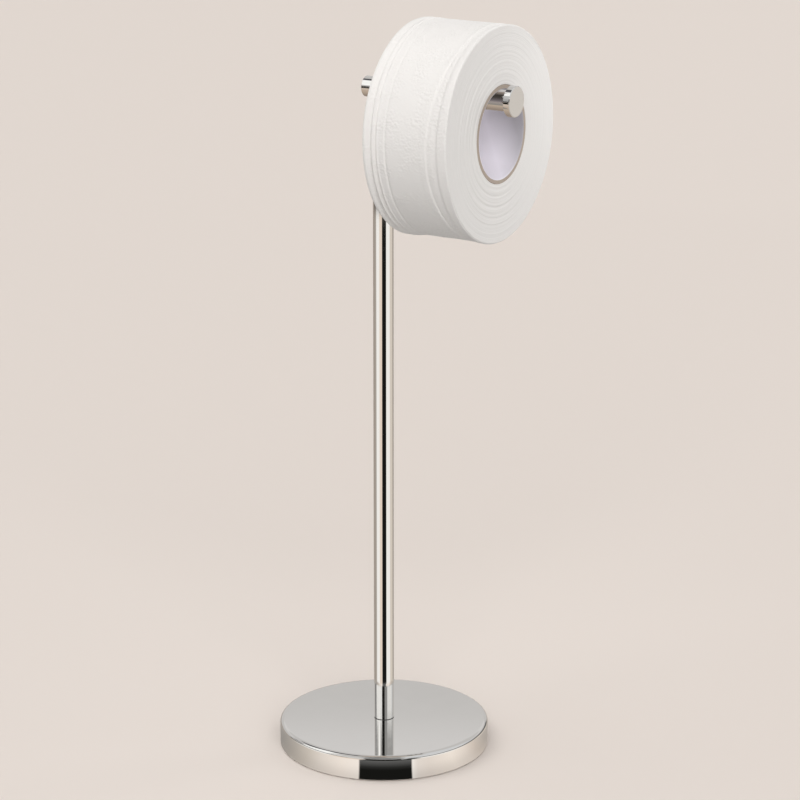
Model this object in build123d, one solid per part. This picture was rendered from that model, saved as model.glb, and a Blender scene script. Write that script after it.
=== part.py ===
from build123d import *
import os
from math import cos, radians, sqrt, tan

# Freestanding toilet paper holder: a round weighted base, one pole, a level arm with an end cap,
# and a jumbo paper roll hanging on the arm. Lengths are in millimetres, angles in degrees.
# The origin is the centre of the underside on the floor, +Z is up and the arm points along +X.

# Gaps, screw tips and cuts shared by several pieces
SEAT_GAP = 0.05
NEAR_GAP = 0.3
SCREW_TIP_BEVEL = 0.7
CUT_OVERRUN = 2.0

# Base cover, drawn from sheet steel and rolled in under the weight
BASE_DIAMETER = 200.0
BASE_HEIGHT = 24.6
BASE_EDGE_RADIUS = 3.8
COVER_WALL = 0.8
COVER_BEND_RADIUS = 1.2
COVER_LIP_WIDTH = 4.0

# Base weight, a ribbed casting with a boss for the bolt
WEIGHT_PLATE = 6.0
WEIGHT_RIM_WIDTH = 8.0
WEIGHT_BOSS_DIAMETER = 40.0
WEIGHT_RIB_THICKNESS = 4.0
WEIGHT_RIB_RISE = 3.0
WEIGHT_RIB_COUNT = 6

# Base pad, the soft disc that meets the floor
PAD_THICKNESS = 1.4
PAD_HOLE_MARGIN = 3.0
PAD_EDGE_BEVEL = 0.4

# Base bolt and its washers
BOLT_DIAMETER = 8.0
BOLT_HEAD_FLATS = 13.0
BOLT_HEAD_HEIGHT = 5.3
BOLT_HEAD_RECESS = 0.8
BOLT_HOLE_GAP = 0.4
BOLT_ENGAGEMENT = 11.0
COUNTERBORE_GAP = 1.5
FLAT_WASHER_DIAMETER = 16.0
FLAT_WASHER_THICKNESS = 1.6
SPRING_WASHER_DIAMETER = 14.8
SPRING_WASHER_THICKNESS = 2.0
SPRING_WASHER_SLIT = 1.0

# Pole and the pieces at its foot; the arm is cut from the same tube
TUBE_DIAMETER = 19.05
TUBE_WALL = 1.2
GASKET_THICKNESS = 0.5
FOOT_INSERT_LENGTH = 20.0

# Arm, measured from the pole's axis; its front end follows the roll's width and play
ARM_HEIGHT = 636.8
ARM_REAR_REACH = 18.0
REAR_PLUG_FLANGE = 2.0
REAR_PLUG_BEVEL = 0.6
REAR_PLUG_LENGTH = 7.0

# Hidden joint between pole and arm
BLOCK_LENGTH = 16.0
SPIGOT_LENGTH = 30.0
SPIGOT_WEB = 12.0
JOINT_SCREW_DIAMETER = 6.0
JOINT_SCREW_HEAD_DIAMETER = 10.0
JOINT_SCREW_HEAD_HEIGHT = 6.0
JOINT_SCREW_ENGAGEMENT = 6.0
JOINT_SCREW_SOCKET_FLATS = 5.0
JOINT_SCREW_SOCKET_DEPTH = 3.0
GRUB_DIAMETER = 5.0
GRUB_LENGTH = 4.0
GRUB_SOCKET_FLATS = 2.5
GRUB_SOCKET_DEPTH = 2.0

# End cap and the pieces that hold it
CAP_DIAMETER = 28.0
CAP_THICKNESS = 6.5
CAP_FRONT_BEVEL = 0.6
CAP_REAR_BEVEL = 0.4
CAP_SOCKET_DEPTH = 5.0
STUD_DIAMETER = 6.0
STUD_ENGAGEMENT = 10.0
FRONT_INSERT_LENGTH = 16.0

# Paper roll on its cardboard core
ROLL_DIAMETER = 195.0
ROLL_WIDTH = 85.0
ROLL_REAR_PLAY = 28.9
ROLL_FRONT_PLAY = 8.5
ROLL_EDGE_RADIUS = 2.2
ROLL_SHOULDER_DROP = 0.8
ROLL_SHOULDER_WIDTH = 14.0
REAR_CHANNEL_INSET = 8.0
FRONT_CHANNEL_INSET = 21.0
CHANNEL_RADIUS = 2.5
CHANNEL_DEPTH = 0.5
CORE_DIAMETER = 89.0
CORE_WALL = 4.0
CORE_END_BEVEL = 0.4

# Radii and heights that follow
base_radius = BASE_DIAMETER / 2
cover_low = PAD_THICKNESS - COVER_WALL
cover_under = BASE_HEIGHT - COVER_WALL
lip_radius = base_radius - COVER_LIP_WIDTH
edge_bevel = (BASE_EDGE_RADIUS - COVER_WALL) * (2 - sqrt(2))
lip_bevel = (COVER_BEND_RADIUS - COVER_WALL) * (2 - sqrt(2))
weight_radius = base_radius - COVER_WALL - NEAR_GAP
boss_radius = WEIGHT_BOSS_DIAMETER / 2
bolt_radius = BOLT_DIAMETER / 2
bolt_hole_radius = bolt_radius + BOLT_HOLE_GAP
head_corner_radius = BOLT_HEAD_FLATS / 2 / cos(radians(30))
counterbore_radius = max(FLAT_WASHER_DIAMETER / 2, head_corner_radius) + COUNTERBORE_GAP
head_low = PAD_THICKNESS + BOLT_HEAD_RECESS
spring_washer_low = head_low + BOLT_HEAD_HEIGHT
flat_washer_low = spring_washer_low + SPRING_WASHER_THICKNESS
counterbore_top = flat_washer_low + FLAT_WASHER_THICKNESS

tube_radius = TUBE_DIAMETER / 2
bore_radius = tube_radius - TUBE_WALL
insert_radius = bore_radius - SEAT_GAP
pole_low = BASE_HEIGHT + GASKET_THICKNESS
bolt_tip = pole_low + BOLT_ENGAGEMENT

saddle_radius = tube_radius + SEAT_GAP
spigot_top = ARM_HEIGHT - saddle_radius
spigot_seat = spigot_top - SPIGOT_WEB
grub_height = spigot_top - SPIGOT_WEB / 2
joint_screw_radius = JOINT_SCREW_DIAMETER / 2
joint_screw_tip = ARM_HEIGHT - insert_radius + JOINT_SCREW_ENGAGEMENT
joint_hole_radius = joint_screw_radius + BOLT_HOLE_GAP
grub_radius = GRUB_DIAMETER / 2

core_radius = CORE_DIAMETER / 2
core_bore_radius = core_radius - CORE_WALL
roll_radius = ROLL_DIAMETER / 2
roll_height = ARM_HEIGHT + tube_radius + NEAR_GAP - core_bore_radius
roll_rear = tube_radius + ROLL_REAR_PLAY

plug_face = -ARM_REAR_REACH
tube_rear = plug_face + REAR_PLUG_FLANGE
cap_rear = roll_rear + ROLL_WIDTH + ROLL_FRONT_PLAY
stud_radius = STUD_DIAMETER / 2


def disc(radius, low, high):
    """Round bar standing on Z between two heights."""
    bar = Cylinder(radius, high - low, align=(Align.CENTER, Align.CENTER, Align.MIN))
    return Pos(0, 0, low) * bar


def ring(outer, inner, low, high):
    """Round tube standing on Z between two heights."""
    return disc(outer, low, high) - disc(inner, low - CUT_OVERRUN, high + CUT_OVERRUN)


def turned(corners, rounds={}, bevels={}):
    """Body turned about Z from a closed outline of (radius, height) corners.

    By a corner's place in the outline, rounds gives its fillet radius and bevels the length
    that is cut back along both of its sides.
    """
    points = []
    radii = []
    for place, corner in enumerate(corners):
        here = Vector(*corner)
        if place in bevels:
            for other in (corners[place - 1], corners[(place + 1) % len(corners)]):
                points.append(here + (Vector(*other) - here).normalized() * bevels[place])
                radii.append(0)
        else:
            points.append(here)
            radii.append(rounds.get(place, 0))
    edge = FilletPolyline(*points, radius=radii, close=True)
    return revolve(Plane.XZ * make_face(edge), Axis.Z)


def level(shape, start, height):
    """Lay a shape made along Z down along +X, its foot at start, its axis at a height."""
    return Pos(start, 0, height) * Rot(0, 90, 0) * shape


def hexagon(flats, low, high):
    """Six-sided bar standing on Z, measured across its flats."""
    outline = RegularPolygon(flats / 2, 6, major_radius=False)
    return Pos(0, 0, low) * extrude(outline, amount=high - low)


def rod(radius, low, high, bevels):
    """Solid round bar on Z with bevelled ends: corner 1 is the lower rim, corner 2 the upper."""
    return turned([(0, low), (radius, low), (radius, high), (0, high)], bevels=bevels)


def base_cover():
    """Drawn shell: flat top, rounded edge, upright wall and a lip rolled in under the weight."""
    corners = [
        (bolt_hole_radius, BASE_HEIGHT),
        (base_radius, BASE_HEIGHT),
        (base_radius, cover_low),
        (lip_radius, cover_low),
        (lip_radius, PAD_THICKNESS),
        (base_radius - COVER_WALL, PAD_THICKNESS),
        (base_radius - COVER_WALL, cover_under),
        (bolt_hole_radius, cover_under),
    ]
    return turned(corners, rounds={1: BASE_EDGE_RADIUS, 2: COVER_BEND_RADIUS},
                  bevels={5: lip_bevel, 6: edge_bevel})


def base_weight():
    """Casting with a plate, an outer rim, a boss with a counterbore, and ribs between them."""
    rim_inner = weight_radius - WEIGHT_RIM_WIDTH
    plate_low = cover_under - WEIGHT_PLATE
    body = turned(
        [(0, PAD_THICKNESS), (boss_radius, PAD_THICKNESS), (boss_radius, plate_low),
         (rim_inner, plate_low), (rim_inner, PAD_THICKNESS), (weight_radius, PAD_THICKNESS),
         (weight_radius, cover_under), (0, cover_under)],
        bevels={5: lip_bevel + NEAR_GAP, 6: edge_bevel + NEAR_GAP})
    rib_low = PAD_THICKNESS + WEIGHT_RIB_RISE
    rib = Pos((boss_radius + rim_inner) / 2, 0, (rib_low + plate_low) / 2) * Box(
        rim_inner - boss_radius + WEIGHT_RIB_THICKNESS, WEIGHT_RIB_THICKNESS,
        plate_low - rib_low + WEIGHT_RIB_THICKNESS)
    for turn in range(WEIGHT_RIB_COUNT):
        body += Rot(0, 0, 360 / WEIGHT_RIB_COUNT * turn) * rib
    body -= disc(counterbore_radius, PAD_THICKNESS - CUT_OVERRUN, counterbore_top)
    body -= disc(bolt_hole_radius, PAD_THICKNESS, BASE_HEIGHT)
    return body


def base_pad():
    """Soft ring under the weight, inside the cover's lip, open in the middle for the bolt."""
    outer = lip_radius - NEAR_GAP
    inner = counterbore_radius + PAD_HOLE_MARGIN
    corners = [(inner, 0), (outer, 0), (outer, PAD_THICKNESS), (inner, PAD_THICKNESS)]
    return turned(corners, bevels={1: PAD_EDGE_BEVEL})


def base_bolt():
    """Hexagon-head bolt up through the weight and the cover into the pole's foot."""
    rise = (head_corner_radius - BOLT_HEAD_FLATS / 2) * tan(radians(30))
    crown = [(0, head_low), (BOLT_HEAD_FLATS / 2, head_low), (head_corner_radius, head_low + rise),
             (head_corner_radius, spring_washer_low), (0, spring_washer_low)]
    head = hexagon(BOLT_HEAD_FLATS, head_low, spring_washer_low) & turned(crown)
    shank_low = head_low + BOLT_HEAD_HEIGHT / 2
    return head + rod(bolt_radius, shank_low, bolt_tip, {2: SCREW_TIP_BEVEL})


def base_flat_washer():
    """Flat washer under the counterbore's shoulder."""
    return ring(FLAT_WASHER_DIAMETER / 2, bolt_hole_radius, flat_washer_low, counterbore_top)


def base_spring_washer():
    """Split spring washer, squeezed flat between the bolt's head and the flat washer."""
    outer = SPRING_WASHER_DIAMETER / 2
    washer = ring(outer, bolt_hole_radius, spring_washer_low, flat_washer_low)
    slit = Pos(outer, 0, (spring_washer_low + flat_washer_low) / 2) * Rot(30, 0, 0) * Box(
        SPRING_WASHER_DIAMETER, SPRING_WASHER_SLIT, SPRING_WASHER_THICKNESS + 2 * CUT_OVERRUN)
    return washer - slit


def pole_gasket():
    """Thin dark ring between the pole's foot and the cover."""
    return ring(tube_radius, bolt_hole_radius, BASE_HEIGHT, pole_low)


def pole_foot_insert():
    """Tapped plug pressed into the pole's lower end."""
    return ring(insert_radius, bolt_radius + SEAT_GAP, pole_low, pole_low + FOOT_INSERT_LENGTH)


def saddle_cut():
    """Room for the arm, cut across the tops of the pole and the spigot."""
    half = tube_radius + CUT_OVERRUN
    return level(disc(saddle_radius, 0, 2 * half), -half, ARM_HEIGHT)


def grub_hole(depth):
    """Level hole from the rear of the pole, open to the outside, down to a depth behind the axis."""
    start = -tube_radius - CUT_OVERRUN
    return level(disc(grub_radius + SEAT_GAP, 0, -depth - start), start, grub_height)


def pole_tube():
    """Pole, its top coped to the round of the arm, with the grub screw's hole at the rear."""
    return ring(tube_radius, bore_radius, pole_low, ARM_HEIGHT) - saddle_cut() - grub_hole(CUT_OVERRUN)


def arm_tube():
    """Level tube across the pole's top, drilled beneath for the joint screw."""
    tube = level(ring(tube_radius, bore_radius, 0, cap_rear - tube_rear), tube_rear, ARM_HEIGHT)
    return tube - disc(joint_hole_radius, ARM_HEIGHT - tube_radius - CUT_OVERRUN, ARM_HEIGHT)


def arm_block():
    """Steel block inside the arm, tapped from beneath for the joint screw."""
    block = level(disc(insert_radius, 0, BLOCK_LENGTH), -BLOCK_LENGTH / 2, ARM_HEIGHT)
    thread = disc(joint_screw_radius + SEAT_GAP, spigot_top, joint_screw_tip + NEAR_GAP)
    return block - thread


def arm_spigot():
    """Plug inside the pole's top, saddled under the arm and bored for the joint screw."""
    plug = disc(insert_radius, spigot_top - SPIGOT_LENGTH, ARM_HEIGHT) - saddle_cut()
    plug -= disc(joint_hole_radius, spigot_seat - CUT_OVERRUN, ARM_HEIGHT)
    pocket_radius = JOINT_SCREW_HEAD_DIAMETER / 2 + NEAR_GAP
    plug -= disc(pocket_radius, spigot_top - SPIGOT_LENGTH - CUT_OVERRUN, spigot_seat)
    return plug - grub_hole(tube_radius - NEAR_GAP - GRUB_LENGTH - NEAR_GAP)


def joint_screw():
    """Cap screw with a hexagon socket that pulls the arm down on the spigot."""
    head_bottom = spigot_seat - JOINT_SCREW_HEAD_HEIGHT
    screw = disc(JOINT_SCREW_HEAD_DIAMETER / 2, head_bottom, spigot_seat)
    socket_top = head_bottom + JOINT_SCREW_SOCKET_DEPTH
    screw += rod(joint_screw_radius, socket_top, joint_screw_tip, {2: SCREW_TIP_BEVEL})
    return screw - hexagon(JOINT_SCREW_SOCKET_FLATS, head_bottom - CUT_OVERRUN, socket_top)


def pole_grub_screw():
    """Headless screw that locks the pole on the spigot, its socket at the rear of the pole."""
    screw = disc(grub_radius, 0, GRUB_LENGTH)
    screw -= hexagon(GRUB_SOCKET_FLATS, -CUT_OVERRUN, GRUB_SOCKET_DEPTH)
    return level(screw, NEAR_GAP - tube_radius, grub_height)


def arm_rear_plug():
    """Flush plug in the arm's rear end, a flange outside and a stem inside the tube."""
    stem_end = REAR_PLUG_FLANGE + REAR_PLUG_LENGTH
    corners = [(0, 0), (tube_radius, 0), (tube_radius, REAR_PLUG_FLANGE),
               (insert_radius, REAR_PLUG_FLANGE), (insert_radius, stem_end), (0, stem_end)]
    plug = turned(corners, bevels={1: REAR_PLUG_BEVEL, 4: REAR_PLUG_BEVEL})
    return level(plug, plug_face, ARM_HEIGHT)


def arm_front_insert():
    """Tapped plug in the arm's front end."""
    plug = ring(insert_radius, stud_radius + SEAT_GAP, 0, FRONT_INSERT_LENGTH)
    return level(plug, cap_rear - FRONT_INSERT_LENGTH, ARM_HEIGHT)


def cap_stud():
    """Threaded stud between the front insert and the end cap."""
    length = STUD_ENGAGEMENT + CAP_SOCKET_DEPTH - NEAR_GAP
    stud = rod(stud_radius, 0, length, {1: SCREW_TIP_BEVEL, 2: SCREW_TIP_BEVEL})
    return level(stud, cap_rear - STUD_ENGAGEMENT, ARM_HEIGHT)


def end_cap():
    """Plain round cap that keeps the roll on the arm, with a blind tapped hole behind."""
    cap = rod(CAP_DIAMETER / 2, 0, CAP_THICKNESS, {1: CAP_REAR_BEVEL, 2: CAP_FRONT_BEVEL})
    cap -= disc(stud_radius + SEAT_GAP, -CUT_OVERRUN, CAP_SOCKET_DEPTH)
    return level(cap, cap_rear, ARM_HEIGHT)


def roll_core():
    """Cardboard tube whose bore hangs on top of the arm."""
    corners = [(core_bore_radius, 0), (core_radius, 0), (core_radius, ROLL_WIDTH),
               (core_bore_radius, ROLL_WIDTH)]
    tube = turned(corners, bevels={0: CORE_END_BEVEL, 3: CORE_END_BEVEL})
    return level(tube, roll_rear, roll_height)


def paper_roll():
    """Wound paper with rounded edges, low shoulders and a shallow channel near each edge."""
    inner = core_radius + SEAT_GAP
    shoulder = roll_radius - ROLL_SHOULDER_DROP
    front_shoulder = ROLL_WIDTH - ROLL_SHOULDER_WIDTH
    corners = [(inner, 0), (shoulder, 0), (roll_radius, ROLL_SHOULDER_WIDTH),
               (roll_radius, front_shoulder), (shoulder, ROLL_WIDTH), (inner, ROLL_WIDTH)]
    paper = turned(corners, rounds={1: ROLL_EDGE_RADIUS, 4: ROLL_EDGE_RADIUS})
    for station in (REAR_CHANNEL_INSET, ROLL_WIDTH - FRONT_CHANNEL_INSET):
        sweep_radius = roll_radius - CHANNEL_DEPTH + CHANNEL_RADIUS
        paper -= Pos(0, 0, station) * Torus(sweep_radius, CHANNEL_RADIUS)
    return level(paper, roll_rear, roll_height)


PIECES = {
    "base_cover": base_cover,
    "base_weight": base_weight,
    "base_pad": base_pad,
    "base_bolt": base_bolt,
    "base_flat_washer": base_flat_washer,
    "base_spring_washer": base_spring_washer,
    "pole_gasket": pole_gasket,
    "pole_foot_insert": pole_foot_insert,
    "pole_tube": pole_tube,
    "pole_grub_screw": pole_grub_screw,
    "arm_tube": arm_tube,
    "arm_block": arm_block,
    "arm_spigot": arm_spigot,
    "joint_screw": joint_screw,
    "arm_rear_plug": arm_rear_plug,
    "arm_front_insert": arm_front_insert,
    "cap_stud": cap_stud,
    "end_cap": end_cap,
    "roll_core": roll_core,
    "paper_roll": paper_roll,
}

os.makedirs("parts", exist_ok=True)
for node, make in PIECES.items():
    export_step(make(), f"parts/{node}.step")
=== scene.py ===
"""Looks for the freestanding toilet paper holder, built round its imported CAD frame.

Every length is in metres, in the CAD model's frame: +Z up along the pole, +X along the arm to its end cap.
"""

import math

import bpy
import numpy as np
from bpy.props import FloatProperty, FloatVectorProperty, PointerProperty
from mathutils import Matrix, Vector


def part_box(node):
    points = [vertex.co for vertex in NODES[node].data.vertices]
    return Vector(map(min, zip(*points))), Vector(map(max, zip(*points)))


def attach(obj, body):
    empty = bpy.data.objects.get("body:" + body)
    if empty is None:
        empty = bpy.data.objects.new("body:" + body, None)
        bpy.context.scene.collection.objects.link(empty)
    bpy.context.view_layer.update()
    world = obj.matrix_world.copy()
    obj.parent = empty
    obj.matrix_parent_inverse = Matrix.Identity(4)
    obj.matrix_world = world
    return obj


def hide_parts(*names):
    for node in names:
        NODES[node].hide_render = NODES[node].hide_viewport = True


bl_info = {
    "name": "Freestanding paper holder looks",
    "version": (1, 0, 0),
    "blender": (4, 5, 0),
    "location": "View3D > Sidebar > Paper holder",
    "description": "Builds the paper roll, its core, the finishes and the stage of a paper holder",
    "category": "Object",
}

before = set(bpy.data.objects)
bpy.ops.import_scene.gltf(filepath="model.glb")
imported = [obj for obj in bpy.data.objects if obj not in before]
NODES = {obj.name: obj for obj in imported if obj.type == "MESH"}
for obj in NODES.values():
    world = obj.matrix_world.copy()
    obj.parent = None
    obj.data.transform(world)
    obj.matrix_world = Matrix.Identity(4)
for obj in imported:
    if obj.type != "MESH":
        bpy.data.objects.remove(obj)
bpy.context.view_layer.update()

MM = 0.001
TURN = 2 * math.pi

ROLL_LOW, ROLL_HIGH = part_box("paper_roll")
CORE_LOW, CORE_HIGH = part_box("roll_core")
_, COVER_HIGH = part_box("base_cover")
ROLL_AXIS_HEIGHT = (ROLL_LOW.z + ROLL_HIGH.z) / 2
ROLL_RADIUS = (ROLL_HIGH.z - ROLL_LOW.z) / 2
CORE_RADIUS = (CORE_HIGH.z - CORE_LOW.z) / 2
CORE_AXIS_HEIGHT = (CORE_LOW.z + CORE_HIGH.z) / 2
BASE_RADIUS = COVER_HIGH.x

# The polished parts, the name of their finish, and how close its marks lie along each axis
POLISHED_PARTS = (
    (("pole_tube",), "polished_pole", (900, 900, 12)),
    (("arm_tube", "arm_rear_plug", "end_cap"), "polished_arm", (12, 900, 900)),
    (("base_cover",), "polished_base", (260, 260, 20)),
)
PLATED_NODES = (
    "base_bolt", "base_flat_washer", "base_spring_washer", "pole_foot_insert", "pole_grub_screw",
    "arm_block", "arm_spigot", "joint_screw", "arm_front_insert", "cap_stud",
)


# Settings that a user would change


class PaperSettings(bpy.types.PropertyGroup):
    """The wound tissue."""

    colour: FloatVectorProperty(
        name="Paper colour", description="Colour of the tissue",
        subtype="COLOR", min=0, max=1, default=(0.85, 0.83, 0.81),
    )
    edge_radius: FloatProperty(
        name="Edge radius", description="Rounding of the roll's two outer edges",
        default=1.3 * MM, unit="LENGTH",
    )
    shoulder_drop: FloatProperty(
        name="Shoulder drop", description="How much lower the roll is at its edges than at its middle",
        default=0.6 * MM, unit="LENGTH",
    )
    shoulder_width: FloatProperty(
        name="Shoulder width", description="Width of the band next to each edge where the roll slopes down",
        default=14 * MM, unit="LENGTH",
    )
    fold_depth: FloatProperty(
        name="Fold depth", description="Depth of the wavy folds near the front edge",
        default=1.2 * MM, unit="LENGTH",
    )
    groove_depth: FloatProperty(
        name="Groove depth", description="Depth of the pressed grooves near the rear edge",
        default=0.85 * MM, unit="LENGTH",
    )
    layer_relief: FloatProperty(
        name="Layer relief", description="How far single layers stand out of the end faces",
        default=0.26 * MM, unit="LENGTH",
    )
    dent_depth: FloatProperty(
        name="Dent depth", description="Depth of the shallow dents all over the side",
        default=0.20 * MM, unit="LENGTH",
    )
    sheet_step: FloatProperty(
        name="Sheet step", description="Height of the step where the outer sheet ends, on the hidden side",
        default=0.35 * MM, unit="LENGTH",
    )
    emboss_pitch: FloatProperty(
        name="Emboss pitch", description="Distance between two dots of the embossed pattern",
        default=2.4 * MM, unit="LENGTH",
    )


class CoreSettings(bpy.types.PropertyGroup):
    """The cardboard tube in the roll."""

    board_colour: FloatVectorProperty(
        name="Board colour", description="Colour of the bare cardboard, seen on the tube's ends",
        subtype="COLOR", min=0, max=1, default=(0.47, 0.395, 0.335),
    )
    liner_colour: FloatVectorProperty(
        name="Liner colour", description="Colour of the pale ply inside the tube",
        subtype="COLOR", min=0, max=1, default=(0.80, 0.775, 0.84),
    )
    wall: FloatProperty(
        name="Wall", description="Thickness of the cardboard tube's wall", default=4.0 * MM, unit="LENGTH",
    )
    seam_pitch: FloatProperty(
        name="Seam pitch", description="How far the spiral seam travels along the tube in one turn",
        default=118 * MM, unit="LENGTH",
    )
    ply_step: FloatProperty(
        name="Ply step", description="Height of the step where a ply ends", default=0.35 * MM, unit="LENGTH",
    )


class MetalSettings(bpy.types.PropertyGroup):
    """The polished and the plated metal."""

    polished_colour: FloatVectorProperty(
        name="Polished steel colour", description="Reflected colour of the polished steel",
        subtype="COLOR", min=0, max=1, default=(0.8, 0.79, 0.77),
    )
    plated_colour: FloatVectorProperty(
        name="Plated steel colour", description="Reflected colour of the zinc plated screws and inserts",
        subtype="COLOR", min=0, max=1, default=(0.62, 0.63, 0.65),
    )
    polish_depth: FloatProperty(
        name="Polishing depth", description="Depth of the faint polishing marks",
        default=0.004 * MM, unit="LENGTH",
    )


class StageSettings(bpy.types.PropertyGroup):
    """Floor, lamps and camera."""

    floor_colour: FloatVectorProperty(
        name="Floor colour", description="Colour of the plain floor",
        subtype="COLOR", min=0, max=1, default=(0.785, 0.717, 0.668),
    )
    bounced_colour: FloatVectorProperty(
        name="Bounced colour", description="Colour of the light that the floor throws back on the object",
        subtype="COLOR", min=0, max=1, default=(0.46, 0.45, 0.44),
    )
    backdrop_colour: FloatVectorProperty(
        name="Backdrop colour", description="Colour of the background beyond the floor",
        subtype="COLOR", min=0, max=1, default=(0.745, 0.68, 0.617),
    )
    key_strength: FloatProperty(
        name="Key light", description="Strength of the soft lamp above, to the left", default=0.85, min=0,
    )
    fill_strength: FloatProperty(
        name="Fill light", description="Strength of the soft lamp in front, to the right",
        default=1.53, min=0,
    )
    side_strength: FloatProperty(
        name="Side light", description="Watts of the small soft lamp near the roll's end face",
        default=0.42, min=0,
    )
    sky_strength: FloatProperty(
        name="Room light", description="Strength of the even light from all round", default=0.5, min=0,
    )
    lens: FloatProperty(
        name="Lens", description="Focal length of the camera on a 36 mm sensor", default=132.58, min=1,
    )


# Surfaces


def put_mesh(name, points, faces, corner_uv=None, attributes=None, smooth=True):
    """A mesh object from an array of points and an array of faces, all with the same count of corners.

    corner_uv has a row for each face corner, and attributes a number for each point under each name.
    """
    mesh = bpy.data.meshes.new(name)
    corners = faces.shape[1]
    mesh.vertices.add(len(points))
    mesh.vertices.foreach_set("co", points.astype(np.float32).ravel())
    mesh.loops.add(faces.size)
    mesh.loops.foreach_set("vertex_index", faces.astype(np.int32).ravel())
    mesh.polygons.add(len(faces))
    mesh.polygons.foreach_set("loop_start", np.arange(0, faces.size, corners, dtype=np.int32))
    mesh.update(calc_edges=True)
    mesh.validate()
    mesh.polygons.foreach_set("use_smooth", np.full(len(faces), smooth))
    if corner_uv is not None:
        layer = mesh.uv_layers.new(name="SurfaceUV")
        layer.data.foreach_set("uv", corner_uv.astype(np.float32).ravel())
    for key, values in (attributes or {}).items():
        attribute = mesh.attributes.new(key, "FLOAT", "POINT")
        attribute.data.foreach_set("value", values.astype(np.float32))
    made = bpy.data.objects.new(name, mesh)
    bpy.context.scene.collection.objects.link(made)
    return made


def grid_faces(columns, rows, close_columns, close_rows):
    """The four corners of each cell of a grid whose point number is column * rows + row.

    A closed direction joins its last line to its first.
    """
    c = np.arange(columns if close_columns else columns - 1)
    r = np.arange(rows if close_rows else rows - 1)
    c, r = (a.ravel() for a in np.meshgrid(c, r, indexing="ij"))
    next_c, next_r = (c + 1) % columns, (r + 1) % rows
    return np.stack((c * rows + r, next_c * rows + r, next_c * rows + next_r, c * rows + next_r), 1)


def grid_uv(column_places, row_places):
    """The UV of each face corner of a grid that is closed both ways, from the places of its lines.

    Both arrays hold one place more than there are lines, so that the last cell doesn't run back.
    """
    columns, rows = len(column_places) - 1, len(row_places) - 1
    c, r = (a.ravel() for a in np.meshgrid(np.arange(columns), np.arange(rows), indexing="ij"))
    u = np.stack([column_places[i] for i in (c, c + 1, c + 1, c)], 1)
    v = np.stack([row_places[i] for i in (r, r, r + 1, r + 1)], 1)
    return np.stack((u, v), -1).reshape(-1, 2)


def wave(angle, seed, highest):
    """A smooth random closed curve, scaled to -1 to 1.

    It adds up cosines of one to the highest number of times the angle, each at a random strength divided by
    that number to the power 0.7, and with a random start.
    """
    draws = np.random.default_rng(seed)
    total = np.zeros_like(angle)
    for k in range(1, highest + 1):
        total = total + draws.normal() * np.cos(k * angle + draws.uniform(0, TURN)) / k**0.7
    return total / np.abs(total).max()


def bell(distance, width):
    """A bell: one at no distance, falling to nearly none at twice the width."""
    return np.exp(-((distance / width) ** 2))


def step(value, start, end):
    """None before start and one after end, with a smooth rise between them."""
    t = np.clip((value - start) / (end - start), 0, 1)
    return t * t * (3 - 2 * t)


# The parts of a ring's outline, in an order in which the rounded edges lie between the ends and the side
BORE, END, EDGE, SIDE = 0.0, 1.0, 1.5, 2.0


def ring_outline(rear, front, bore, outer, edge, bore_rows, rear_rows, edge_rows, side_shares, front_rows):
    """The closed outline of a thick ring, in a plane through its axis.

    It runs backwards along the bore, out over the rear face, round the rear edge, forwards along the side,
    round the front edge, and in over the front face. side_shares are the places of the side's points, from 0
    at its rear to nearly 1 at its front. The five arrays are the distances along the axis, the radii, the
    parts of the outward normal along the axis and away from it, and the part of the ring.
    """
    runs = []

    def run(along, radius, along_normal, radius_normal, part):
        runs.append(np.broadcast_arrays(along, radius, along_normal, radius_normal, part))

    def shares(count):
        return np.linspace(0, 1, count, endpoint=False)

    quarter = shares(edge_rows) * math.pi / 2
    sine, cosine = np.sin(quarter), np.cos(quarter)
    face = outer - edge - bore
    run(front + (rear - front) * shares(bore_rows), bore, 0.0, -1.0, BORE)
    run(rear, bore + face * shares(rear_rows), -1.0, 0.0, END)
    run(rear + edge - edge * cosine, outer - edge + edge * sine, -cosine, sine, EDGE)
    run(rear + edge + (front - rear - 2 * edge) * side_shares, outer, 0.0, 1.0, SIDE)
    run(front - edge + edge * sine, outer - edge + edge * cosine, sine, cosine, EDGE)
    run(front, outer - edge - face * shares(front_rows), 1.0, 0.0, END)
    return [np.concatenate(arrays) for arrays in zip(*runs)]


def turned_ring(name, angles, outline, relief, attributes, bulge=0.0):
    """A ring carried round the roll's axis.

    Each point of the outline, moved along its normal by the relief and away from the axis by the bulge, goes
    round the axis: y is the radius times the cosine of the angle, and z the axis height plus the radius times
    the sine. relief and bulge have a row for each angle.
    """
    along, radius, along_normal, radius_normal, _ = outline
    a = along[None, :] + relief * along_normal[None, :]
    r = radius[None, :] + relief * radius_normal[None, :] + bulge
    turn = angles[:, None]
    points = np.stack((a, r * np.cos(turn), ROLL_AXIS_HEIGHT + r * np.sin(turn)), -1).reshape(-1, 3)
    faces = grid_faces(len(angles), len(along), True, True)
    steps = np.hypot(np.diff(along, append=along[0]), np.diff(radius, append=radius[0]))
    travelled = np.append(0, np.cumsum(steps))
    round_places = np.append(angles, angles[0] + TURN) * radius.max()
    values = {key: np.tile(v, len(angles)) for key, v in attributes.items()}
    return put_mesh(name, points, faces, grid_uv(round_places, travelled), values)


# Materials


def node(tree, kind, inputs=None, **settings):
    """Adds a shader node, with its settings, and wires or sets its sockets."""
    made = tree.nodes.new("ShaderNode" + kind)
    for key, value in settings.items():
        setattr(made, key, value)
    for socket, value in (inputs or {}).items():
        if isinstance(value, bpy.types.NodeSocket):
            tree.links.new(value, made.inputs[socket])
        else:
            made.inputs[socket].default_value = value
    return made


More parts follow.
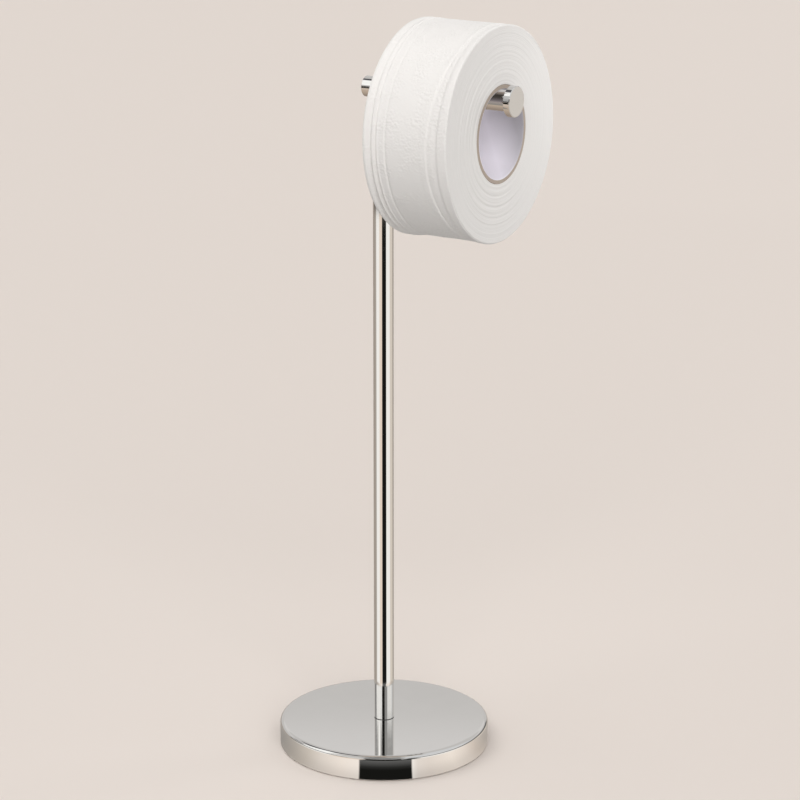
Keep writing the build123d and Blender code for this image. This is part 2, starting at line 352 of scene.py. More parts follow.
def new_finish(name, **constants):
    """A material with a Principled shader whose constant sockets are set directly."""
    made = bpy.data.materials.new(name)
    made.use_nodes = True
    shader = made.node_tree.nodes["Principled BSDF"]
    for key, value in constants.items():
        shader.inputs[key.replace("_", " ")].default_value = value
    return made, made.node_tree, shader


def wire(tree, shader, **values):
    """Feeds sockets of a shader with the values of other nodes."""
    for key, value in values.items():
        tree.links.new(value, shader.inputs[key.replace("_", " ")])


def calc(tree, operation, a, b=0.0, c=0.0):
    """The value of a Math node."""
    return node(tree, "Math", {0: a, 1: b, 2: c}, operation=operation).outputs[0]


def noise(tree, vector, scale, detail=3.0, roughness=0.5):
    """The grey value of a noise texture."""
    inputs = {"Vector": vector, "Scale": scale, "Detail": detail, "Roughness": roughness}
    return node(tree, "TexNoise", inputs).outputs["Fac"]


def line_noise(tree, place, scale, detail):
    """The grey value of a noise texture along a line."""
    inputs = {"W": calc(tree, "MULTIPLY", place, scale), "Scale": 1.0, "Detail": detail}
    return node(tree, "TexNoise", inputs, noise_dimensions="1D").outputs["Fac"]


def weighed(tree, first, second, share):
    """The share of the first value and the rest of the second, added up."""
    return calc(tree, "MULTIPLY_ADD", first, share, calc(tree, "MULTIPLY", second, 1 - share))


def reach_along(tree, vector, direction):
    """The dot product of a vector and a direction."""
    return node(tree, "VectorMath", {0: vector, 1: direction}, operation="DOT_PRODUCT").outputs["Value"]


def ranged(tree, value, low, high, to_low, to_high, kind="LINEAR"):
    """The value, moved from one range to another and kept inside it."""
    ends = {"Value": value, "From Min": low, "From Max": high, "To Min": to_low, "To Max": to_high}
    return node(tree, "MapRange", ends, interpolation_type=kind).outputs["Result"]


def mixed(tree, factor, first, second):
    """Two colours, mixed."""
    return node(tree, "Mix", {0: factor, 6: first, 7: second}, data_type="RGBA").outputs[2]


def stretched(tree, scale=(1, 1, 1), location=(0, 0, 0)):
    """Object coordinates, moved and then stretched by a scale."""
    place = node(tree, "TexCoord").outputs["Object"]
    moved = node(tree, "VectorMath", {0: place, 1: location}, operation="ADD").outputs[0]
    return node(tree, "VectorMath", {0: moved, 1: scale}, operation="MULTIPLY").outputs[0]


def raised(tree, height, distance, strength=1.0, below=None):
    """The normal of a bump, on top of another bump's normal where there is one."""
    inputs = {"Height": height, "Distance": distance, "Strength": strength}
    if below is not None:
        inputs["Normal"] = below
    return node(tree, "Bump", inputs).outputs["Normal"]


def with_alpha(colour, share=1.0):
    """A colour of four parts from one of three, darkened to a share of it."""
    return (*[c * share for c in colour], 1.0)


def set_finish(names, material):
    """Gives CAD nodes a finish through their material slots."""
    for name in names:
        for place in NODES[name].material_slots:
            place.material = material


def polished_finish(settings, name, streak_scale):
    """Polished steel: a mirror with faint, drawn-out polishing marks and a slightly uneven gloss."""
    colour = with_alpha(settings.polished_colour)
    material, tree, shader = new_finish(name, Base_Color=colour, Metallic=1.0)
    cloud = noise(tree, stretched(tree), scale=38.0, detail=4.0)
    marks = noise(tree, stretched(tree, streak_scale), scale=1.0, detail=2.0)
    bump = raised(tree, marks, settings.polish_depth, 0.35)
    wire(tree, shader, Roughness=ranged(tree, cloud, 0.3, 0.7, 0.025, 0.06), Normal=bump)
    return material


def cast_finish():
    """Cast iron: dark, with a sandy skin."""
    material, tree, shader = new_finish("cast_iron_skin", Metallic=0.6)
    grain = noise(tree, stretched(tree), scale=900.0, detail=4.0, roughness=0.6)
    colour = mixed(tree, grain, (0.07, 0.07, 0.072, 1), (0.16, 0.155, 0.15, 1))
    roughness = ranged(tree, grain, 0.2, 0.8, 0.6, 0.85)
    wire(tree, shader, Base_Color=colour, Roughness=roughness, Normal=raised(tree, grain, 0.2 * MM, 0.8))
    return material


def rubber_finish(name, dark, pale):
    """Matte rubber between a darker and a paler grey, with a fine pitted skin."""
    material, tree, shader = new_finish(name)
    grain = noise(tree, stretched(tree), scale=1600.0, detail=2.0)
    colour = mixed(tree, grain, with_alpha((dark,) * 3), with_alpha((pale,) * 3))
    roughness = ranged(tree, grain, 0.3, 0.7, 0.62, 0.8)
    wire(tree, shader, Base_Color=colour, Roughness=roughness, Normal=raised(tree, grain, 0.05 * MM, 0.6))
    return material


def plated_finish(settings):
    """Zinc plate over turned steel: satin, with fine turning lines."""
    colour = with_alpha(settings.plated_colour)
    material, tree, shader = new_finish("zinc_plate", Base_Color=colour, Metallic=1.0)
    lines = noise(tree, stretched(tree, (300, 300, 9000)), scale=1.0)
    roughness = ranged(tree, lines, 0.3, 0.7, 0.28, 0.42)
    wire(tree, shader, Roughness=roughness, Normal=raised(tree, lines, 0.02 * MM, 0.5))
    return material


def roll_radius_value(tree):
    """A point's distance from the roll's axis."""
    across = stretched(tree, (0, 1, 1), (0, 0, -ROLL_AXIS_HEIGHT))
    return node(tree, "VectorMath", {0: across}, operation="LENGTH").outputs["Value"]


def embossed_dots(tree, pitch):
    """The distance to the nearest of the scattered dots on the roll's surface, in shares of their pitch."""
    place = node(tree, "UVMap", uv_map="SurfaceUV").outputs["UV"]
    scale = (1 / pitch, 1 / pitch, 0)
    spread = node(tree, "VectorMath", {0: place, 1: scale}, operation="MULTIPLY").outputs[0]
    inputs = {"Vector": spread, "Scale": 1.0, "Randomness": 0.9}
    dots = node(tree, "TexVoronoi", inputs, voronoi_dimensions="2D", feature="SMOOTH_F1")
    return dots.outputs["Distance"]


def tissue_finish(settings):
    """Wound tissue: soft white paper with loose fibres, an embossed side, and layer lines on its ends."""
    material, tree, shader = new_finish(
        "soft_tissue", Roughness=0.92, Specular_IOR_Level=0.25, Sheen_Weight=0.15, Sheen_Roughness=0.6
    )
    on_end = node(tree, "Attribute", attribute_name="end_face").outputs["Fac"]
    on_side = calc(tree, "SUBTRACT", 1.0, on_end)
    wobble = noise(tree, stretched(tree), scale=22.0, detail=2.0)
    layer_place = calc(tree, "MULTIPLY_ADD", wobble, 1.2 * MM, roll_radius_value(tree))
    layers = line_noise(tree, layer_place, scale=900.0, detail=4.0)
    cloud = noise(tree, stretched(tree), scale=30.0)
    fibre = noise(tree, stretched(tree), scale=1500.0, roughness=0.6)
    shade = weighed(tree, cloud, fibre, 0.5)
    end_shade = weighed(tree, ranged(tree, layers, 0.35, 0.65, 0.0, 1.0), shade, 0.6)
    blend = calc(tree, "MULTIPLY_ADD", on_end, calc(tree, "SUBTRACT", end_shade, shade), shade)
    colour = mixed(tree, blend, with_alpha(settings.colour, 0.955), with_alpha(settings.colour, 1.02))

    dots = embossed_dots(tree, settings.emboss_pitch)
    patches = noise(tree, stretched(tree), scale=60.0, detail=2.0)
    pressed = calc(tree, "MULTIPLY", ranged(tree, dots, 0.1, 0.6, 0.0, 1.0), on_side)
    pressed = calc(tree, "MULTIPLY", pressed, ranged(tree, patches, 0.38, 0.62, 0.15, 1.0))
    fibres = raised(tree, fibre, 0.06 * MM, 0.55)
    embossed = raised(tree, pressed, 0.34 * MM, 0.9, fibres)
    lined = raised(tree, calc(tree, "MULTIPLY", layers, on_end), 0.35 * MM, 0.55, embossed)
    wire(tree, shader, Base_Color=colour, Normal=lined)
    return material


# How strongly painted shade greys the liner with x, y and the height over the axis, and how far before and
# past the core's front end the sum of the three takes it from pale to grey
LINER_SHADE_WEIGHTS = (1, 0.62, 0.37)
LINER_SHADE_FADE = (14 * MM, 17 * MM)


def liner_painted_light(tree):
    """How pale painted light leaves the liner, from 1 to 0: painted shade greys it towards the front end, to
    the arm's left, and upwards.
    """
    place = stretched(tree, location=(0, 0, -CORE_AXIS_HEIGHT))
    forward = reach_along(tree, place, LINER_SHADE_WEIGHTS)
    before, past = LINER_SHADE_FADE
    return ranged(tree, forward, CORE_HIGH.x - before, CORE_HIGH.x + past, 1.0, 0.0)


def board_finish(settings):
    """Cardboard: brown plies on the ends and outside, and a pale liner inside with painted shade."""
    material, tree, shader = new_finish("core_board_plies", Roughness=0.88, Specular_IOR_Level=0.25)
    board, liner = settings.board_colour, settings.liner_colour
    radius = roll_radius_value(tree)
    bore = CORE_RADIUS - settings.wall
    outside = ranged(tree, radius, bore + 0.35 * MM, bore + 0.6 * MM, 0.0, 1.0)
    plies = line_noise(tree, radius, scale=2600.0, detail=2.0)
    fleck = noise(tree, stretched(tree), scale=700.0, roughness=0.6)
    cloud = noise(tree, stretched(tree), scale=45.0, detail=2.0)
    brown = mixed(tree, weighed(tree, plies, fleck, 0.5), with_alpha(board, 0.82), with_alpha(board, 1.18))
    # Painted shade on the liner, greying it towards the front end, to the arm's left and upwards, mixed with
    # random mottle
    painted_light_and_mottle = weighed(tree, liner_painted_light(tree), weighed(tree, cloud, fleck, 0.6), 0.86)
    pale = mixed(tree, painted_light_and_mottle, with_alpha(liner, 0.56), with_alpha(liner, 1.17))
    colour = mixed(tree, outside, pale, brown)
    wire(tree, shader, Base_Color=colour, Normal=raised(tree, fleck, 0.06 * MM, 0.6))
    return material


# Pieces


# The gap between the wound paper and its core, the rounding of the core's edges, and the size of its seam
CORE_FIT = 0.05 * MM
CORE_EDGE = 0.4 * MM
SEAM_DEPTH, SEAM_WIDTH = 0.25 * MM, 0.9 * MM
# How many points go round the roll and round the core, where in degrees their outer layer ends, and the angle
# in radians over which it steps down there
ROLL_TURN = (336, -38, 0.0022)
CORE_TURN = (320, -104, 0.004)
# The bands of the roll's side, from its rear: where each starts and ends, as a share of the side, and its
# points, which lie close together in the grooves and folds and wide apart between
SIDE_BANDS = ((0.0, 0.31, 60), (0.31, 0.66, 32), (0.66, 1.0, 62))
# The pressed grooves near the roll's rear edge: millimetres from it, width in millimetres, and depth as a
# share, where a depth below zero is a ridge
REAR_GROOVES = (
    (3.2, 1.6, -0.9),
    (7.6, 1.5, 1.7),
    (10.2, 0.9, -1.2),
    (12.6, 1.0, 1.5),
    (14.6, 0.8, -0.7),
    (22.5, 1.1, 0.8),
)
# The wavy folds near the front edge, where the side steps up or down towards the front: millimetres from that
# edge where the fold lies nearest to it and farthest from it, swing in millimetres, height of the step as a
# share, width of the step in millimetres at both places, and the number that its random draws start from
FRONT_FOLDS = (
    (10.5, 26.5, 1.2, 0.28, 3.0, 3.0, 11),
    (8.4, 20.6, 0.9, -0.72, 1.8, 2.0, 11),
    (7.6, 18.2, 0.9, 0.30, 1.6, 1.8, 12),
    (6.2, 14.4, 0.9, -0.24, 3.0, 4.0, 14),
    (4.0, 10.4, 0.7, 0.98, 5.0, 2.8, 17),
)
# The layers on the roll's ends, as sines of the radius: height as a share, millimetres in a radian, start in
# radians, how far a wave round the roll shifts it, what that wave's draws start from, and its highest count
END_LAYERS = ((0.50, 0.83, 0.0, 0.8, 43, 3), (0.35, 0.51, 1.3, 0.0, 45, 3), (0.45, 1.45, 2.1, 1.2, 47, 5))
# Where round the roll, in degrees, the folds lie farthest from the front edge, and the layers stand out most
FOLD_TURN = 185
LAYER_TURN = 205
# Where round the roll its edges bulge: degrees, width in degrees, and height in millimetres
FRONT_BULGES = ((142, 34, 3.2), (245, 34, 1.3))
REAR_BULGES = ((165, 75, 2.6), (330, 60, 1.2))


def wound_angles(columns, end, gap):
    """Even angles over one turn from where the outer layer ends. The last lies just before the step there."""
    start = math.radians(end)
    angles = start + np.linspace(0, TURN, columns, endpoint=False)
    angles[-1] = start + TURN - gap
    return angles


def dents(turn, along, seed, count=18):
    """Shallow dents, scaled to -1 to 1: cosines that run over the side in random directions, added up."""
    draws = np.random.default_rng(seed)
    total = 0
    for _ in range(count):
        turns = draws.integers(-34, 35)
        across = draws.uniform(140, 420)
        total = total + np.cos(turns * turn + across * along + draws.uniform(0, TURN))
    return total / np.abs(total).max()


def roll_relief(settings, angles, outline):
    """How far each point of the roll stands out of its plain outline, in a row for each angle.

    On the side the outer sheet winds in, so its radius falls evenly over a turn and steps where it ends. Near
    the rear edge run pressed grooves with ridges between, as bell shapes, and near the front edge wavy folds,
    as smooth steps whose places swing and whose heights swell and fade round the roll. Between them lie
    dents. On the ends layers stand in or out by sines of the radius, strongest near the core and low down.
    All of it is added up.
    """
    along, radius, _, _, part = outline
    turn = angles[:, None]
    from_rear = (along - along.min())[None, :]
    from_front = (along.max() - along)[None, :]
    from_edge = np.minimum(from_rear, from_front)
    side = (part >= EDGE)[None, :]
    shoulder = step(settings.shoulder_width - from_edge, 0, settings.shoulder_width)
    relief = -settings.shoulder_drop * shoulder - settings.sheet_step * (turn - angles[0]) / TURN
    rear_swing = 0.3 * MM * wave(turn, 3, 5)
    fading = 0.95 - 0.5 * np.sin(turn) + 0.2 * wave(turn, 5, 4)
    for place, width, depth in REAR_GROOVES:
        shape = bell(from_rear - place * MM - rear_swing, width * MM)
        relief = relief - settings.groove_depth * depth * fading * shape
    turned = (0.5 + 0.5 * np.cos(turn - math.radians(FOLD_TURN))) ** 3
    for nearest, farthest, swing, rise, near_width, far_width, seed in FRONT_FOLDS:
        centre = (nearest + (farthest - nearest) * turned + swing * wave(turn, seed, 7)) * MM
        half = (near_width + (far_width - near_width) * turned) * MM / 2
        strength = settings.fold_depth * (0.85 + 0.25 * wave(turn, seed + 1, 9))
        relief = relief + rise * strength * step((centre - from_front) / half, -1, 1)
    middle = step(from_edge, 8 * MM, 26 * MM)
    relief = relief + settings.dent_depth * (0.25 + 0.75 * middle) * dents(turn, along[None, :], 31)
    relief = side * relief

    end = (part == END)[None, :]
    r = radius[None, :] + 0.7 * MM * wave(turn, 41, 4)
    depth_in = (r - CORE_RADIUS) / (ROLL_RADIUS - CORE_RADIUS)
    low_side = 0.5 + 0.5 * np.cos(turn - math.radians(LAYER_TURN))
    strength = 0.25 + 0.75 * low_side * step(1 - depth_in, 0.05, 0.6)
    rings = 0
    for height, length, start, shift, seed, highest in END_LAYERS:
        rings = rings + height * np.sin(r / (length * MM) + start + shift * wave(turn, seed, highest))
    swell = 0.8 * np.sin(depth_in * 5.2 + 0.5)
    relief = relief + end * (settings.layer_relief * rings * strength + 0.1 * MM * swell)
    rim = end * bell(r - (ROLL_RADIUS - settings.edge_radius), 4 * MM)
    return relief + 0.16 * MM * rim * wave(turn, 53, 16)


def roll_bulge(angles, outline):
    """How far each point of the roll lies farther out than in a round roll.

    Near each edge it is a bell of the angle for each bulge, times the square of the share of the way out from
    the core, and it fades out over 16 mm from the edge.
    """
    along, radius, _, _, _ = outline
    outer = ((radius - CORE_RADIUS) / (ROLL_RADIUS - CORE_RADIUS)).clip(0, 1) ** 2
    total = 0
    for bulges, reach in ((FRONT_BULGES, along.max() - along), (REAR_BULGES, along - along.min())):
        amount = sum(size * MM * bell(np.degrees(angles) - place, width) for place, width, size in bulges)
        total = total + amount[:, None] * (outer * (1 - step(reach, 1 * MM, 16 * MM)))[None, :]
    return total


class HOLDER_OT_paper_roll(bpy.types.Operator):
    """Builds the wound paper roll in the place of its CAD solid"""

    bl_idname = "holder.paper_roll"
    bl_label = "Paper roll"

    def execute(self, context):
        settings = context.scene.holder_paper
        angles = wound_angles(*ROLL_TURN)
        bands = [np.linspace(start, end, count, endpoint=False) for start, end, count in SIDE_BANDS]
        outline = ring_outline(
            ROLL_LOW.x, ROLL_HIGH.x, CORE_RADIUS + CORE_FIT, ROLL_RADIUS, settings.edge_radius,
            bore_rows=4, rear_rows=26, edge_rows=7, side_shares=np.concatenate(bands), front_rows=96,
        )
        relief = roll_relief(settings, angles, outline)
        bulge = roll_bulge(angles, outline)
        attributes = {"end_face": outline[-1] < EDGE}
        roll = turned_ring("wound_paper", angles, outline, relief, attributes, bulge)
        roll.data.materials.append(tissue_finish(settings))
        roll.visible_glossy = False
        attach(roll, "paper")
        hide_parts("paper_roll")
        return {"FINISHED"}


class HOLDER_OT_roll_core(bpy.types.Operator):
    """Builds the spiral-wound cardboard tube in the place of its CAD solid"""

    bl_idname = "holder.roll_core"
    bl_label = "Cardboard core"

    def execute(self, context):
        settings = context.scene.holder_core
        angles = wound_angles(*CORE_TURN)
        side_shares = np.linspace(0, 1, 24, endpoint=False)
        outline = ring_outline(
            CORE_LOW.x, CORE_HIGH.x, CORE_RADIUS - settings.wall, CORE_RADIUS, CORE_EDGE,
            bore_rows=60, rear_rows=8, edge_rows=4, side_shares=side_shares, front_rows=8,
        )
        relief = core_relief(settings, angles, outline)
        core = turned_ring("board_tube", angles, outline, relief, {})
        core.data.materials.append(board_finish(settings))
        core.visible_glossy = False
        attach(core, "core")
        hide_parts("roll_core")
        return {"FINISHED"}


def core_relief(settings, angles, outline):
    """How far each point of the core stands out of its plain outline, in a row for each angle.

    The outer ply winds in by a step over one turn. Inside, the liner's spiral seam is a shallow groove, a
    bell of the distance from a line whose angle grows evenly along the tube. The ends are cut unevenly, in
    smooth random waves, with one ply standing out as a bell of the radius.
    """
    along, radius, _, _, part = outline
    turn = angles[:, None]
    wound = (turn - angles[0]) / TURN
    side = (part >= EDGE)[None, :]
    relief = -settings.ply_step * wound * side
    bore = (part == BORE)[None, :]
    seam = np.mod(turn - angles[0] - TURN * (along[None, :] - along.min()) / settings.seam_pitch, TURN)
    reach = CORE_RADIUS * np.minimum(seam, TURN - seam)
    relief = relief - SEAM_DEPTH * bore * bell(reach, SEAM_WIDTH)
    end = (part == END)[None, :]
    ply = bell(radius[None, :] - (CORE_RADIUS - 0.45 * settings.wall), 0.5 * MM)
    return relief + end * MM * (0.10 * wave(turn, 61, 24) * ply + 0.08 * wave(turn, 67, 9))


class HOLDER_OT_polished_parts(bpy.types.Operator):
    """Gives the visible steel parts their polished finish"""

    bl_idname = "holder.polished_parts"
    bl_label = "Polished steel parts"

    def execute(self, context):
        settings = context.scene.holder_metal
        for names, finish_name, streak_scale in POLISHED_PARTS:
            set_finish(names, polished_finish(settings, finish_name, streak_scale))
        return {"FINISHED"}


class HOLDER_OT_hidden_parts(bpy.types.Operator):
    """Gives the weight, the pad, the ring and the fixings their finishes"""

    bl_idname = "holder.hidden_parts"
    bl_label = "Weight, pad and fixings"

    def execute(self, context):
        settings = context.scene.holder_metal
        set_finish(("base_weight",), cast_finish())
        set_finish(("base_pad",), rubber_finish("pad_rubber_skin", 0.03, 0.055))
        set_finish(("pole_gasket",), rubber_finish("ring_rubber_skin", 0.02, 0.04))
        set_finish(PLATED_NODES, plated_finish(settings))
        return {"FINISHED"}


# Stage

# Where the camera stands, how far in radians it looks down and is turned, its bearing in degrees from +X, and
# the width of its sensor in millimetres
CAMERA_PLACE = (1.3823, -2.2561, 1.1043)
CAMERA_PITCH = 0.2805
CAMERA_TURN = 0.5439
CAMERA_BEARING = math.degrees(math.atan2(CAMERA_PLACE[1], CAMERA_PLACE[0]))
SENSOR_WIDTH = 36

# The directions that the two far lamps shine from, how many degrees wide they are, and their colour
KEY_LAMP = ((-0.35, -0.20, 0.91), 50)
FILL_LAMP = ((0.55, -0.70, 0.45), 45)
LAMP_COLOUR = (1, 0.99, 0.98)
# Where the small lamp near the roll's end face is, the direction that it shines from, and its size
SIDE_LAMP = ((0.26, 0.32, 0.74), (0.26, 0.32, 0.14), 0.12)

WHITE_CARD = (1.05, 1.03, 1.0)
CREAM_CARD = (0.78, 0.70, 0.62)
SAND_CARD = (0.92, 0.79, 0.68)
PEARL_CARD = (0.72, 0.675, 0.63)
STONE_CARD = (0.47, 0.425, 0.38)
DUSK_CARD = (0.42, 0.37, 0.325)
BLACK_CARD = (0.010, 0.010, 0.009)

# The rings of the floor and of the pole's card, by radius. The card's first three take the colours of
# POLE_CARDS, and its other two those of FAR_CARDS
FLOOR_RADII = (0.0005, 0.3, 1, 3, 9, 27)
POLE_CARD_RADII = (0.15, 0.6, 2.34, 2.5, 14.0)
# How far in millimetres the lines of the wall's card lie from the wall
WALL_CARD_REACHES = (0.2, 3, 7, 12, 18, 25, 32, 40, 48, 56, 66)
# How high the two cards lie, and how many bearings they and the floor have
POLE_CARD_HEIGHT, WALL_CARD_HEIGHT = 0.3 * MM, 0.5 * MM
FLOOR_COUNT, POLE_CARD_COUNT, WALL_CARD_COUNT = 97, 721, 1441
# How much darker the wall card's pale parts are at the wall, as a painted shadow of the base on the floor,
# and how bright its black ones are far off
WALL_CARD_SHADE, WALL_CARD_HAZE = 0.22, 0.14
# What the pole mirrors on the floor: where each card starts and ends, or its one place, in degrees to the
# right of the camera's bearing, and its colour
POLE_CARDS = (
    (-180, -110, DUSK_CARD),
    (-103, -92, STONE_CARD),
    (-82, -50, WHITE_CARD),
    (-43, -21, SAND_CARD),
    (-16, 26, BLACK_CARD),
    (31, 68, WHITE_CARD),
    (82, 112, CREAM_CARD),
    (122, 150, STONE_CARD),
    (180, DUSK_CARD),
)
# The same far out, where only the arm and its cap mirror it
FAR_CARDS = (
    (-180, -127, STONE_CARD),
    (-122, -38, BLACK_CARD),
    (-33, STONE_CARD),
    (60, 180, PEARL_CARD),
)
# What the wall of the base mirrors, with places round the wall instead of bearings
WALL_CARDS = (
    (-180, STONE_CARD),
    (-90, (0.44, 0.41, 0.38)),
    (-70, (0.56, 0.51, 0.46)),
    (-54, (0.72, 0.65, 0.58)),
    (-40, (0.90, 0.82, 0.75)),
    (-25, (1.04, 0.94, 0.86)),
    (-14.2, (1.08, 0.99, 0.92)),
    (-13.4, 15.0, BLACK_CARD),
    (15.8, (1.06, 1.00, 0.95)),
    (19, (0.93, 0.85, 0.79)),
    (26, (0.92, 0.83, 0.76)),
    (45, (1.06, 0.96, 0.87)),
    (60, (0.95, 0.85, 0.77)),
    (72, (0.80, 0.70, 0.62)),
    (90, (0.60, 0.54, 0.49)),
    (180, STONE_CARD),
)

# The places along Y and the colours of the card below the arm
ARM_STRIPES = (
    (-0.155, (0.62, 0.52, 0.44)),
    (-0.110, (0.74, 0.62, 0.53)),
    (-0.080, (0.68, 0.57, 0.48)),
    (-0.050, (0.58, 0.47, 0.38)),
    (-0.030, (0.56, 0.455, 0.365)),
    (-0.012, (0.45, 0.365, 0.295)),
    (0.003, (0.35, 0.285, 0.235)),
    (0.040, (0.33, 0.265, 0.22)),
)
# The heights and greys of the card that the cap mirrors
CAP_GREYS = ((0.655, 0.30), (0.675, 0.43), (0.725, 0.46), (0.765, 0.60), (0.885, 0.62), (0.895, 0.80))
# Small cards near the arm. Each is a strip of lines along X: where a line starts and ends, its y and z, and
# its colour. In turn they lie below the arm, below the cap's front, to the arm's right and upwards, to its
# right and a little lower, and farther to its right. Inside the core the arm mirrors the third and fourth,
# which paint a reflection of the core's shaded inside, since mirrors don't see the core.
ARM_CARDS = {
    "arm_card": [(-0.11, 0.13, y, 0.60, colour) for y, colour in ARM_STRIPES],
    "front_card": (
        (0.135, 0.34, -0.215, 0.60, (0.60, 0.55, 0.50)),
        (0.135, 0.34, 0.085, 0.60, (0.60, 0.55, 0.50)),
    ),
    # Painted reflection of the core's shaded inside, darkest above, for the arm within the core
    "dark_card": (
        (-0.03, 0.050, -0.15, 0.602, (0.38, 0.34, 0.325)),
        (-0.03, 0.053, -0.15, 0.635, (0.22, 0.195, 0.205)),
        (-0.03, 0.052, -0.15, 0.673, (0.144, 0.125, 0.13)),
        (-0.03, 0.041, -0.15, 0.730, (0.075, 0.066, 0.062)),
        (-0.05, 0.013, -0.15, 0.800, (0.06, 0.052, 0.046)),
        (-0.08, -0.012, -0.15, 0.860, (0.05, 0.043, 0.037)),
        (-0.12, -0.043, -0.15, 0.940, (0.06, 0.052, 0.046)),
        (-0.15, -0.040, -0.10, 0.941, (0.10, 0.085, 0.075)),
        (-0.15, -0.031, -0.015, 0.942, (0.235, 0.20, 0.18)),
        (-0.15, -0.042, 0.13, 0.944, (0.45, 0.38, 0.34)),
    ),
    # Painted reflection of the core's shaded inside, for the lower part of the arm within the core
    "grey_card": (
        (0.04, 0.117, -0.037, 0.602, (0.33, 0.31, 0.28)),
        (0.04, 0.112, -0.045, 0.602, (0.32, 0.30, 0.27)),
        (0.03, 0.098, -0.064, 0.602, (0.36, 0.33, 0.31)),
        (0.01, 0.078, -0.100, 0.602, (0.40, 0.355, 0.34)),
        (-0.02, 0.050, -0.149, 0.602, (0.40, 0.355, 0.34)),
    ),
    "cap_card": [(-0.12, 0.05, -0.25, height, (grey,) * 3) for height, grey in CAP_GREYS],
}

# What mirrors see of the room: a colour, and the bearings and elevations in degrees between which it shows.
# The last two numbers say over how many degrees it fades out, sideways and upwards. A later patch covers an
# earlier one.
ROOM_PATCHES = (
    ((0.75, 0.735, 0.73), -180, 180, 23.0, 29, 1, 1.2),
    ((0.74, 0.75, 0.77), 24, 112, 12, 66, 8, 8),
    ((0.28,) * 3, -24, 22, 30, 64, 5, 6),
    ((0.07, 0.07, 0.075), -180, 180, 74, 90, 1, 6),
    ((0.09, 0.09, 0.10), -140, -92, 61, 76, 6, 3),
    ((0.09, 0.09, 0.10), -134, -105, 42, 62, 4, 4),
    ((1.10,) * 3, 46, 94, 16, 22.4, 10, 0.3),
    ((0.10, 0.10, 0.11), -118, -97, 19, 25, 3, 1),
    ((1.15, 1.15, 1.14), -98, -67, 15, 55, 4, 4),
    ((1.15, 1.15, 1.15), -88, -24, 18, 22.4, 5, 0.3),
    ((0.42,) * 3, -90, 125, 22.45, 24, 8, 0.15),
    ((1.30,) * 3, -68, -46, 22.45, 24, 5, 0.15),
    ((0.12,) * 3, 28, 150, -2, 13, 6, 2),
    (BLACK_CARD, -118, -42, -2, 6, 4, 1),
    (BLACK_CARD, -19, 17, -2, 13, 2, 4),
    ((0.36,) * 3, 6, 32, 20.5, 24.5, 4, 0.8),
    (BLACK_CARD, -22, 6, 20.5, 24.5, 2, 0.8),
)
ROOM_COLOUR = (0.63, 0.615, 0.605)


def card_colours(cards, bearings):
    """The colour of the cards at each bearing, running straight from the end of one card to the next."""
    places, colours = zip(*[(place, colour) for *ends, colour in cards for place in ends])
    parts = [np.interp(bearings, places, part) for part in zip(*colours)]
    return np.stack([*parts, np.ones_like(bearings)], -1)


def disc_grid(name, radii, bearings, height):
    """A flat ring of cells round the origin: each point lies at a radius and a bearing from the camera's."""
    turn = np.radians(bearings + CAMERA_BEARING)[:, None]
    x, y = np.array(radii) * np.cos(turn), np.array(radii) * np.sin(turn)
    return flat_card(name, x, y, height)


def flat_card(name, x, y, height):
    """A level grid of cells that faces up, from the places of its points, in a row for each bearing."""
    points = np.stack((x, y, np.full_like(x, height)), -1).reshape(-1, 3)
    faces = grid_faces(*x.shape, False, False)[:, ::-1]
    return put_mesh(name, points, faces, smooth=False)


def wall_card_grid(name, reaches, places, height):
    """A flat ring whose lines leave the base's wall in the directions that the wall mirrors.

    Each point lies at a reach from the wall's foot, straight out at the place's own angle where that is large
    and turned on by as much again near the camera's bearing, so that a card's edge shows as an upright line.
    """
    place = np.radians(places)[:, None]
    turn = place * (1 + np.exp(-((place / math.radians(50)) ** 2))) + math.radians(CAMERA_BEARING)
    place = place + math.radians(CAMERA_BEARING)
    x = BASE_RADIUS * np.cos(place) + reaches * np.cos(turn)
    y = BASE_RADIUS * np.sin(place) + reaches * np.sin(turn)
    return flat_card(name, x, y, height)


def striped_card(name, lines):
    """A strip of flat cells between lines along X, each from its first to its last x, in its own colour."""
    points = np.array([(line[end], line[2], line[3]) for end in (0, 1) for line in lines])
    made = put_mesh(name, points, grid_faces(2, len(lines), False, False), smooth=False)
    paint_card(made, np.array([with_alpha(line[4]) for line in lines] * 2))


def paint_card(made, colours):
    """Stores a colour for each point, and gives the card its glow and its place on the stage."""
    attribute = made.data.attributes.new("card", "FLOAT_COLOR", "POINT")
    attribute.data.foreach_set("color", colours.astype(np.float32).ravel())
    made.data.materials.append(glow_material(made.name + "_glow"))
    reflected_only(made)


def reflected_only(made):
    """Only mirrors see this object: it hides nothing from the camera, and gives and takes no light."""
    made.visible_camera = made.visible_diffuse = made.visible_shadow = False
    made.visible_transmission = made.visible_volume_scatter = False


def glow_material(name):
    """A card that glows in its own painted colours."""
    made = bpy.data.materials.new(name)
    made.use_nodes = True
    tree = made.node_tree
    tree.nodes.clear()
    paint = node(tree, "Attribute", attribute_name="card").outputs["Color"]
    light = node(tree, "Emission", {"Color": paint, "Strength": 1.0})
    node(tree, "OutputMaterial", {"Surface": light.outputs[0]})
    return made


def between(tree, value, low, high, fade):
    """One where the value lies between low and high, falling smoothly to none over the fade on each side."""
    rise = ranged(tree, value, low - fade, low, 0.0, 1.0, "SMOOTHSTEP")
    fall = ranged(tree, value, high, high + fade, 1.0, 0.0, "SMOOTHSTEP")
    return calc(tree, "MULTIPLY", rise, fall)


